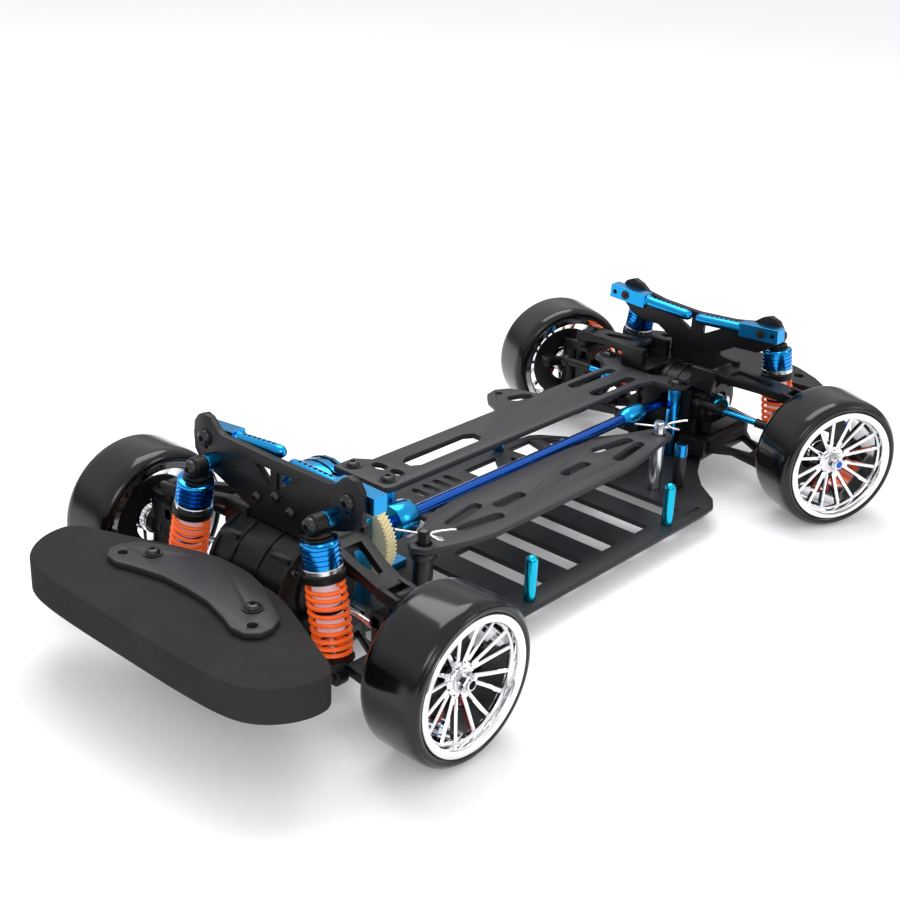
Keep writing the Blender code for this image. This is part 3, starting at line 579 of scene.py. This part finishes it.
def add_tie_rod(mats, end, left):
    """A rod with a blue middle towards the lever ball, kept inside TIE_ROD_OUT to clear the wheel."""
    s = 1 if left else -1
    tag, axle, plastic = tag_of(end, left), ENDS[end]["axle"], mats["plastic"]
    y = axle + (LEVER_BACK if end == "front" else -LEVER_BACK)
    turned = 0.0 if end == "front" else REAR_TURN
    ball = turn(turned, "Z", (s * KINGPIN_X, axle, 0)) @ Vector((s * LEVER_X, y, 38.0))
    inner = Vector((s * TIE_ROD_IN, y, 39.5))
    if abs(ball.x) > TIE_ROD_OUT:
        ball = inner.lerp(ball, (TIE_ROD_OUT - TIE_ROD_IN) / (abs(ball.x) - TIE_ROD_IN))
    a, b = inner.lerp(ball, 0.3), inner.lerp(ball, 0.7)
    rod = Piece()
    rod.tube([inner, a, a.lerp(b, 0.05)], 2.1, plastic)
    rod.tube([a, b], 1.5, mats["blue"])
    rod.tube([a.lerp(b, 0.95), b, ball], 2.1, plastic)
    rod.ball(3.0, ball, plastic)
    rod.ball(3.0, inner, plastic)
    rod.make(f"tie_rod_{tag}", f"upper_arm_{tag}")


def add_drive(mats):
    add_shaft(mats)
    add_spur_gear(mats)
    for end, left in CORNERS:
        add_dogbone(mats, end, left)
        add_axle_cup(mats, end, left)
        if end == "rear":
            add_arm_web(mats, left)
        add_tie_rod(mats, end, left)


# ---------------------------------------------------------------- chassis, decks and fasteners

def dress_cad(frame, mats):
    looks = {
        "carbon": ["top_deck", "battery_strap", "bumper_plate"],
        "chassis": ["chassis_plate"],
        "tower": ["front_shock_tower", "rear_shock_tower"],
        "plastic": ["front_gearbox", "rear_gearbox", "rear_bumper"],
        "blue": ["motor_mount"],
        "steel": ["front_differential", "rear_differential"],
    }
    for end, left in CORNERS:
        tag = tag_of(end, left)
        looks["plastic"] += [f"lower_arm_{tag}", f"upper_arm_{tag}", f"knuckle_{tag}", f"hub_carrier_{tag}"]
    for look, nodes in looks.items():
        for node in nodes:
            obj = frame["nodes"][node]
            obj.data.materials.clear()
            obj.data.materials.append(mats[look])
            obj.data.shade_smooth()
            obj.data.set_sharp_from_angle(angle=math.radians(35))
            weld = obj.modifiers.new("weld", "WELD")
            weld.merge_threshold = 1e-6
            soften(obj, 0.45 if look in ("carbon", "chassis", "tower") else 0.6)


def add_bumper(mats):
    half = [(0, -198), (30, -198), (50, -196.8), (60, -193.5), (67.5, -186), (71.5, -176), (70.5, -166.5),
            (55, -160.5), (40, -154.0), (22, -147), (8, -147), (0, -147)]
    foam = Piece()
    foam.prism(rounded(both_sides(half), 3), 31.0, 44.4, mats["foam"])
    made = foam.make("foam_block", "chassis", ("foam_bumper",), bevel=1.0)
    screws = Piece()
    for s in (-1, 1):
        screws.lathe([(0, 3.7), (0.5, 3.7)], (s * 27, -163.5, 47.2), UP, mats["bolt"], 32)
        # the screw sockets get painted shade
        screws.screw((s * 27, -163.5, 47.6), mats["bolt"], 2.8, socket_shade=mats["recess_shade"])
    screws.make("bumper_screws", "chassis")


def clip(piece, mats, x, y, z, heading):
    """A spring clip through a post: one straight leg, a round loop and a bent leg."""
    base = piece.base
    piece.base = base @ shift(x, y, z) @ Matrix.Rotation(heading, 4, "Z")
    steel = mats["steel"]
    piece.tube([(-11, -2.4, 0.8), (-3, 0, 0), (5, 0, 0)], 0.5, steel)
    loop = [(5 + 3.2 * math.sin(a) + 0.4 * a, -2.0 * (1 - math.cos(a)), 0.5 * a)
            for a in (0, 0.7, 1.4, 2.1, 2.8, 3.5, 4.2, 4.9, 5.6)]
    piece.tube(loop, 0.5, steel)
    piece.tube([loop[-1], (10, 2.2, 3.4), (12, 2.6, 3.6)], 0.5, steel)
    piece.base = base


def add_battery_posts(mats):
    (fx, fy), (rx, ry) = STRAP_POSTS
    front = Piece()
    black = mats["bolt"]
    flanged = [(POST_FOOT, 3.8), (12.0, 4.0), (32.0, 4.0), (32.8, 5.4), (33.4, 5.6), (35.5, 5.6)]
    front.lathe(flanged, (fx, fy, 0), UP, black)
    front.lathe([(34, 2.6), (43.0, 2.6), (43.9, 2.2), (44.4, 1.2)], (fx, fy, 0), UP, black)
    clip(front, mats, fx, fy, 41.8, 0.35)
    front.make("strap_post_front", "chassis", ("battery_post_front",))
    rear = Piece()
    stepped = [(POST_FOOT, 3.1), (35.5, 3.1), (35.5, 2.5), (43.6, 2.5), (44.4, 2.0)]
    rear.lathe(stepped, (rx, ry, 0), UP, mats["steel"])
    clip(rear, mats, rx, ry, 41.8, 0.5)
    rear.make("strap_post_rear", "chassis", ("battery_post_rear",))
    dome = [(POST_FOOT, 2.5), (28.6, 2.5)]
    dome += [(28.6 + 2.4 * math.sin(a), 2.5 * math.cos(a)) for a in (0.4, 0.8, 1.2, 1.45)]
    for name, y in (("front", -41.5), ("rear", 53.4)):
        stop = Piece()
        stop.lathe(dome, (49.6, y, 0), UP, mats["cyan"], 32)
        stop.make(f"stop_pin_{name}", "chassis", (f"battery_stop_{name}",))


def add_deck_screws(mats):
    piece = Piece()
    bolt, recess_shade = mats["bolt"], mats["recess_shade"]
    for x, y in ((-31, -60), (-11.7, -59.5), (6.8, 117.4), (-38.5, 124.8), (-25, 145)):
        piece.lathe([(0, 4.0), (0.4, 4.0)], (x, y, 48.0), UP, bolt, 28)
        # the screw sockets get painted shade
        piece.screw((x, y, 48.4), bolt, 2.9, socket_shade=recess_shade)
    piece.make("deck_screws", "chassis")


def add_side_posts(mats):
    """The post under the deck's fork, and the short posts that stand on the plate."""
    blue, bolt = mats["cap"], mats["bolt"]
    post = Piece()
    post.lathe([(POST_FOOT, 3.0), (12.1, 3.2), (44.8, 3.2), (45.1, 3.0)], (6.8, 117.4, 0), UP, blue, 32)
    post.make("deck_post", "chassis", ("rear_deck_post",))
    extra = Piece()
    for r, x, y, z0, z1, mat in (
        (2.9, -53, 60, POST_FOOT, 34, blue),
        (2.9, -10, 56, POST_FOOT, 31, blue),
        (2.7, 31, 89, POST_FOOT, 30, bolt),
        (3.0, 31, 89, 27, 33, blue),
        (2.9, -38.5, 124.8, 36.0, 41.9, blue),
    ):
        extra.rod(r, (x, y, z0), (x, y, z1), mat, edge=0.3, steps=32)
    extra.make("side_posts", "chassis")


def add_rear_fittings(mats):
    """The blue clamp over the rear gearbox, the bearing boss beside it and the blue bar on the right."""
    collar = [(-4.6, 4.2), (-4.0, 5.2), (4.2, 5.2), (4.8, 4.2), (4.8, 2.6), (3.2, 2.4), (3.2, 1.0)]
    clamp = Piece()
    clamp.lathe(collar, (5.5, 133.5, 43.2), (0.9, -0.35, -0.1), mats["blue"], 40)
    clamp.rod(4.4, (19.2, 134, 37.5), (24.6, 131, 37.5), mats["cyan"], edge=0.5, steps=36)
    clamp.rod(2.0, (24.5, 131, 37.5), (25.2, 130.7, 37.5), mats["bolt"], steps=24)
    clamp.box(-32, -20, 134, 137.5, 43.5, 47.5, mats["blue"])
    clamp.make("rear_blue_fittings", "chassis", bevel=0.3)


def add_motor_mount_trim(mats):
    """The cyan sleeve round the shaft, and near-black bands on the mount's arch: painted shade standing for
    its grooves.
    """
    sleeve = Piece()
    sleeve.lathe([(-104, 4.0), (-103.6, 6.2), (-98.1, 6.3)], (0, 0, SHAFT_Z), ALONG_Y, mats["cyan"], 40)
    band = [(-0.45, 18.9), (-0.45, 19.3), (0.45, 19.3), (0.45, 18.9)]
    for y in (-71.2, -66.2, -61.2):
        # painted shade in the arch's grooves
        sleeve.lathe(band, (-44.5, y, 27.8), ALONG_Y, mats["recess_shade"], 64, ring=True)
    sleeve.make("motor_mount_trim", "chassis")


def add_gearbox_trim(mats, end):
    """Ribs, bearing caps, hinge blocks and screws on a gearbox."""
    bolt, recess_shade, plastic = mats["bolt"], mats["recess_shade"], mats["plastic"]
    axle, r = ENDS[end]["axle"], ENDS[end]["housing"]
    cap = [(18.6, 10.5), (20.2, 10.2), (20.2, 6.0), (18.6, 6.0)]
    hinge = [(15.5, 3.4), (15.5, 4.6), (-15.5, 4.6), (-15.5, 3.4)]
    piece = Piece()
    for x in ENDS[end]["ribs"]:
        rib = [(x - 0.8, r - 0.5), (x - 0.8, r + 0.45), (x + 0.8, r + 0.45), (x + 0.8, r - 0.5)]
        piece.lathe(rib, (0, axle, SHAFT_Z), ALONG_X, plastic, 48, ring=True)
    for s in (-1, 1):
        piece.lathe(cap, (0, axle, SHAFT_Z), (s, 0, 0), plastic, 40, ring=True)
        for a in (0.8, 2.4, 3.9, 5.5):
            at = (s * 19, axle + (r - 3.2) * math.cos(a), SHAFT_Z + (r - 3.2) * math.sin(a))
            # the screw sockets get painted shade
            piece.screw(at, bolt, 1.9, axis=(s, 0, 0), socket_shade=recess_shade)
        piece.box(*sorted((s * 18.6, s * 24.0)), axle - 11.5, axle + 11.5, 24.5, 30.5, plastic)
        piece.lathe(hinge, (s * 23, axle, 19.5), ALONG_Y, plastic, 24, ring=True)
    piece.make(f"{end}_gearbox_trim", "chassis", bevel=0.4)


def add_tower_screws(mats, end):
    """Shock studs, and button heads on the tower's outer face."""
    side, shock = ENDS[end]["side"], ENDS[end]["shock"]
    y0, y1 = ENDS[end]["tower"]
    face = y0 if side < 0 else y1
    x, z = ENDS[end]["top"]
    px, pz, _, _ = POST_PIVOT[end]
    pair_x, pair_z, middle_z = ENDS[end]["screws"]
    screws = Piece()

    def head(at, r, height):
        # the screw sockets get painted shade
        screws.screw(at, mats["bolt"], r, axis=(0, side, 0), height=height, socket_shade=mats["recess_shade"])

    for s in (-1, 1):
        screws.rod(3.2, (s * x, face, z), (s * x, shock - side * 3.2, z), mats["blue"], edge=0.2)
        head((s * x, shock + side * 3.0, z), 3.2, 2.0)
        head((s * px, face, pz), 3.3, 2.0)
        head((s * pair_x, face, pair_z), 2.3, 1.5)
    head((1, face, middle_z), 2.3, 1.5)
    screws.make(f"{end}_tower_screws", "chassis")


# ---------------------------------------------------------------- surroundings

def add_light(name, at, target, size, power, colour=(1, 1, 1)):
    data = bpy.data.lights.new(name, "AREA")
    data.shape = "RECTANGLE"
    data.size, data.size_y = size
    data.energy = power
    data.color = colour
    obj = bpy.data.objects.new(name, data)
    obj.location = at
    obj.rotation_euler = (Vector(target) - Vector(at)).to_track_quat("-Z", "Y").to_euler()
    bpy.context.scene.collection.objects.link(obj)


def set_stage():
    world = bpy.data.worlds.new("studio")
    bpy.context.scene.world = world
    world.use_nodes = True
    nodes, links = world.node_tree.nodes, world.node_tree.links
    back = nodes["Background"]
    place = nodes.new("ShaderNodeTexCoord")
    split = nodes.new("ShaderNodeSeparateXYZ")
    ramp = nodes.new("ShaderNodeValToRGB")
    stops = ramp.color_ramp.elements
    stops[0].position, stops[0].color = 0.0, (0.55, 0.55, 0.57, 1)
    stops[1].position, stops[1].color = 1.0, (1, 1, 1, 1)
    low = stops.new(0.12)
    low.color = (0.28, 0.28, 0.3, 1)
    high = stops.new(0.4)
    high.color = (0.95, 0.95, 0.97, 1)
    links.new(place.outputs["Generated"], split.inputs["Vector"])
    links.new(split.outputs["Z"], ramp.inputs["Fac"])
    links.new(ramp.outputs["Color"], back.inputs["Color"])
    back.inputs["Strength"].default_value = 0.95
    floor = bpy.data.meshes.new("floor")
    floor.from_pydata([(-12, -12, 0), (12, -12, 0), (12, 12, 0), (-12, 12, 0)], [], [(0, 1, 2, 3)])
    floor.materials.append(material("pale_floor", (0.82, 0.822, 0.835), 1.0, shine=0.0, glow=0.2))
    obj = bpy.data.objects.new("floor", floor)
    bpy.context.scene.collection.objects.link(obj)
    add_light("key", (-0.35, 0.25, 1.1), (0, 0, 0.03), (0.9, 0.7), 9.0)
    add_light("front", (0.9, -0.9, 0.8), (0, 0, 0.03), (0.6, 0.5), 3.5)
    add_light("left", (1.0, 0.5, 0.5), (0, 0.05, 0.03), (0.25, 0.5), 1.6)


def set_camera():
    forward = Vector((-0.6006, 0.6887, -0.4061)).normalized()
    level = Vector((0.7537, 0.6573, 0)).normalized()
    up = level.cross(forward)
    roll = math.radians(2.5)
    right = math.cos(roll) * level + math.sin(roll) * up
    top = -math.sin(roll) * level + math.cos(roll) * up
    data = bpy.data.cameras.new("camera")
    data.sensor_width = 36.0
    data.lens = 58.24
    data.clip_start = 0.01
    obj = bpy.data.objects.new("camera", data)
    facing = Matrix((right, top, -forward)).transposed().to_4x4()
    obj.matrix_world = Matrix.Translation((0.3522, -0.4372, 0.2957)) @ facing
    bpy.context.scene.collection.objects.link(obj)
    bpy.context.scene.camera = obj


def main():
    for obj in list(bpy.data.objects):
        bpy.data.objects.remove(obj, do_unlink=True)
    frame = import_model()
    bpy.context.scene.view_settings.view_transform = "Standard"
    mats = make_materials()
    dress_cad(frame, mats)
    for end, left in CORNERS:
        add_tyre(mats, end, left)
        add_rim(mats, end, left)
        add_knuckle_trim(mats, end, left)
        add_shock(mats, end, left)
        add_body_post(mats, end, left)
    add_drive(mats)
    add_bumper(mats)
    add_battery_posts(mats)
    add_deck_screws(mats)
    add_side_posts(mats)
    add_rear_fittings(mats)
    add_motor_mount_trim(mats)
    for end in ENDS:
        add_gearbox_trim(mats, end)
        add_tower_screws(mats, end)
    set_stage()
    set_camera()


main()
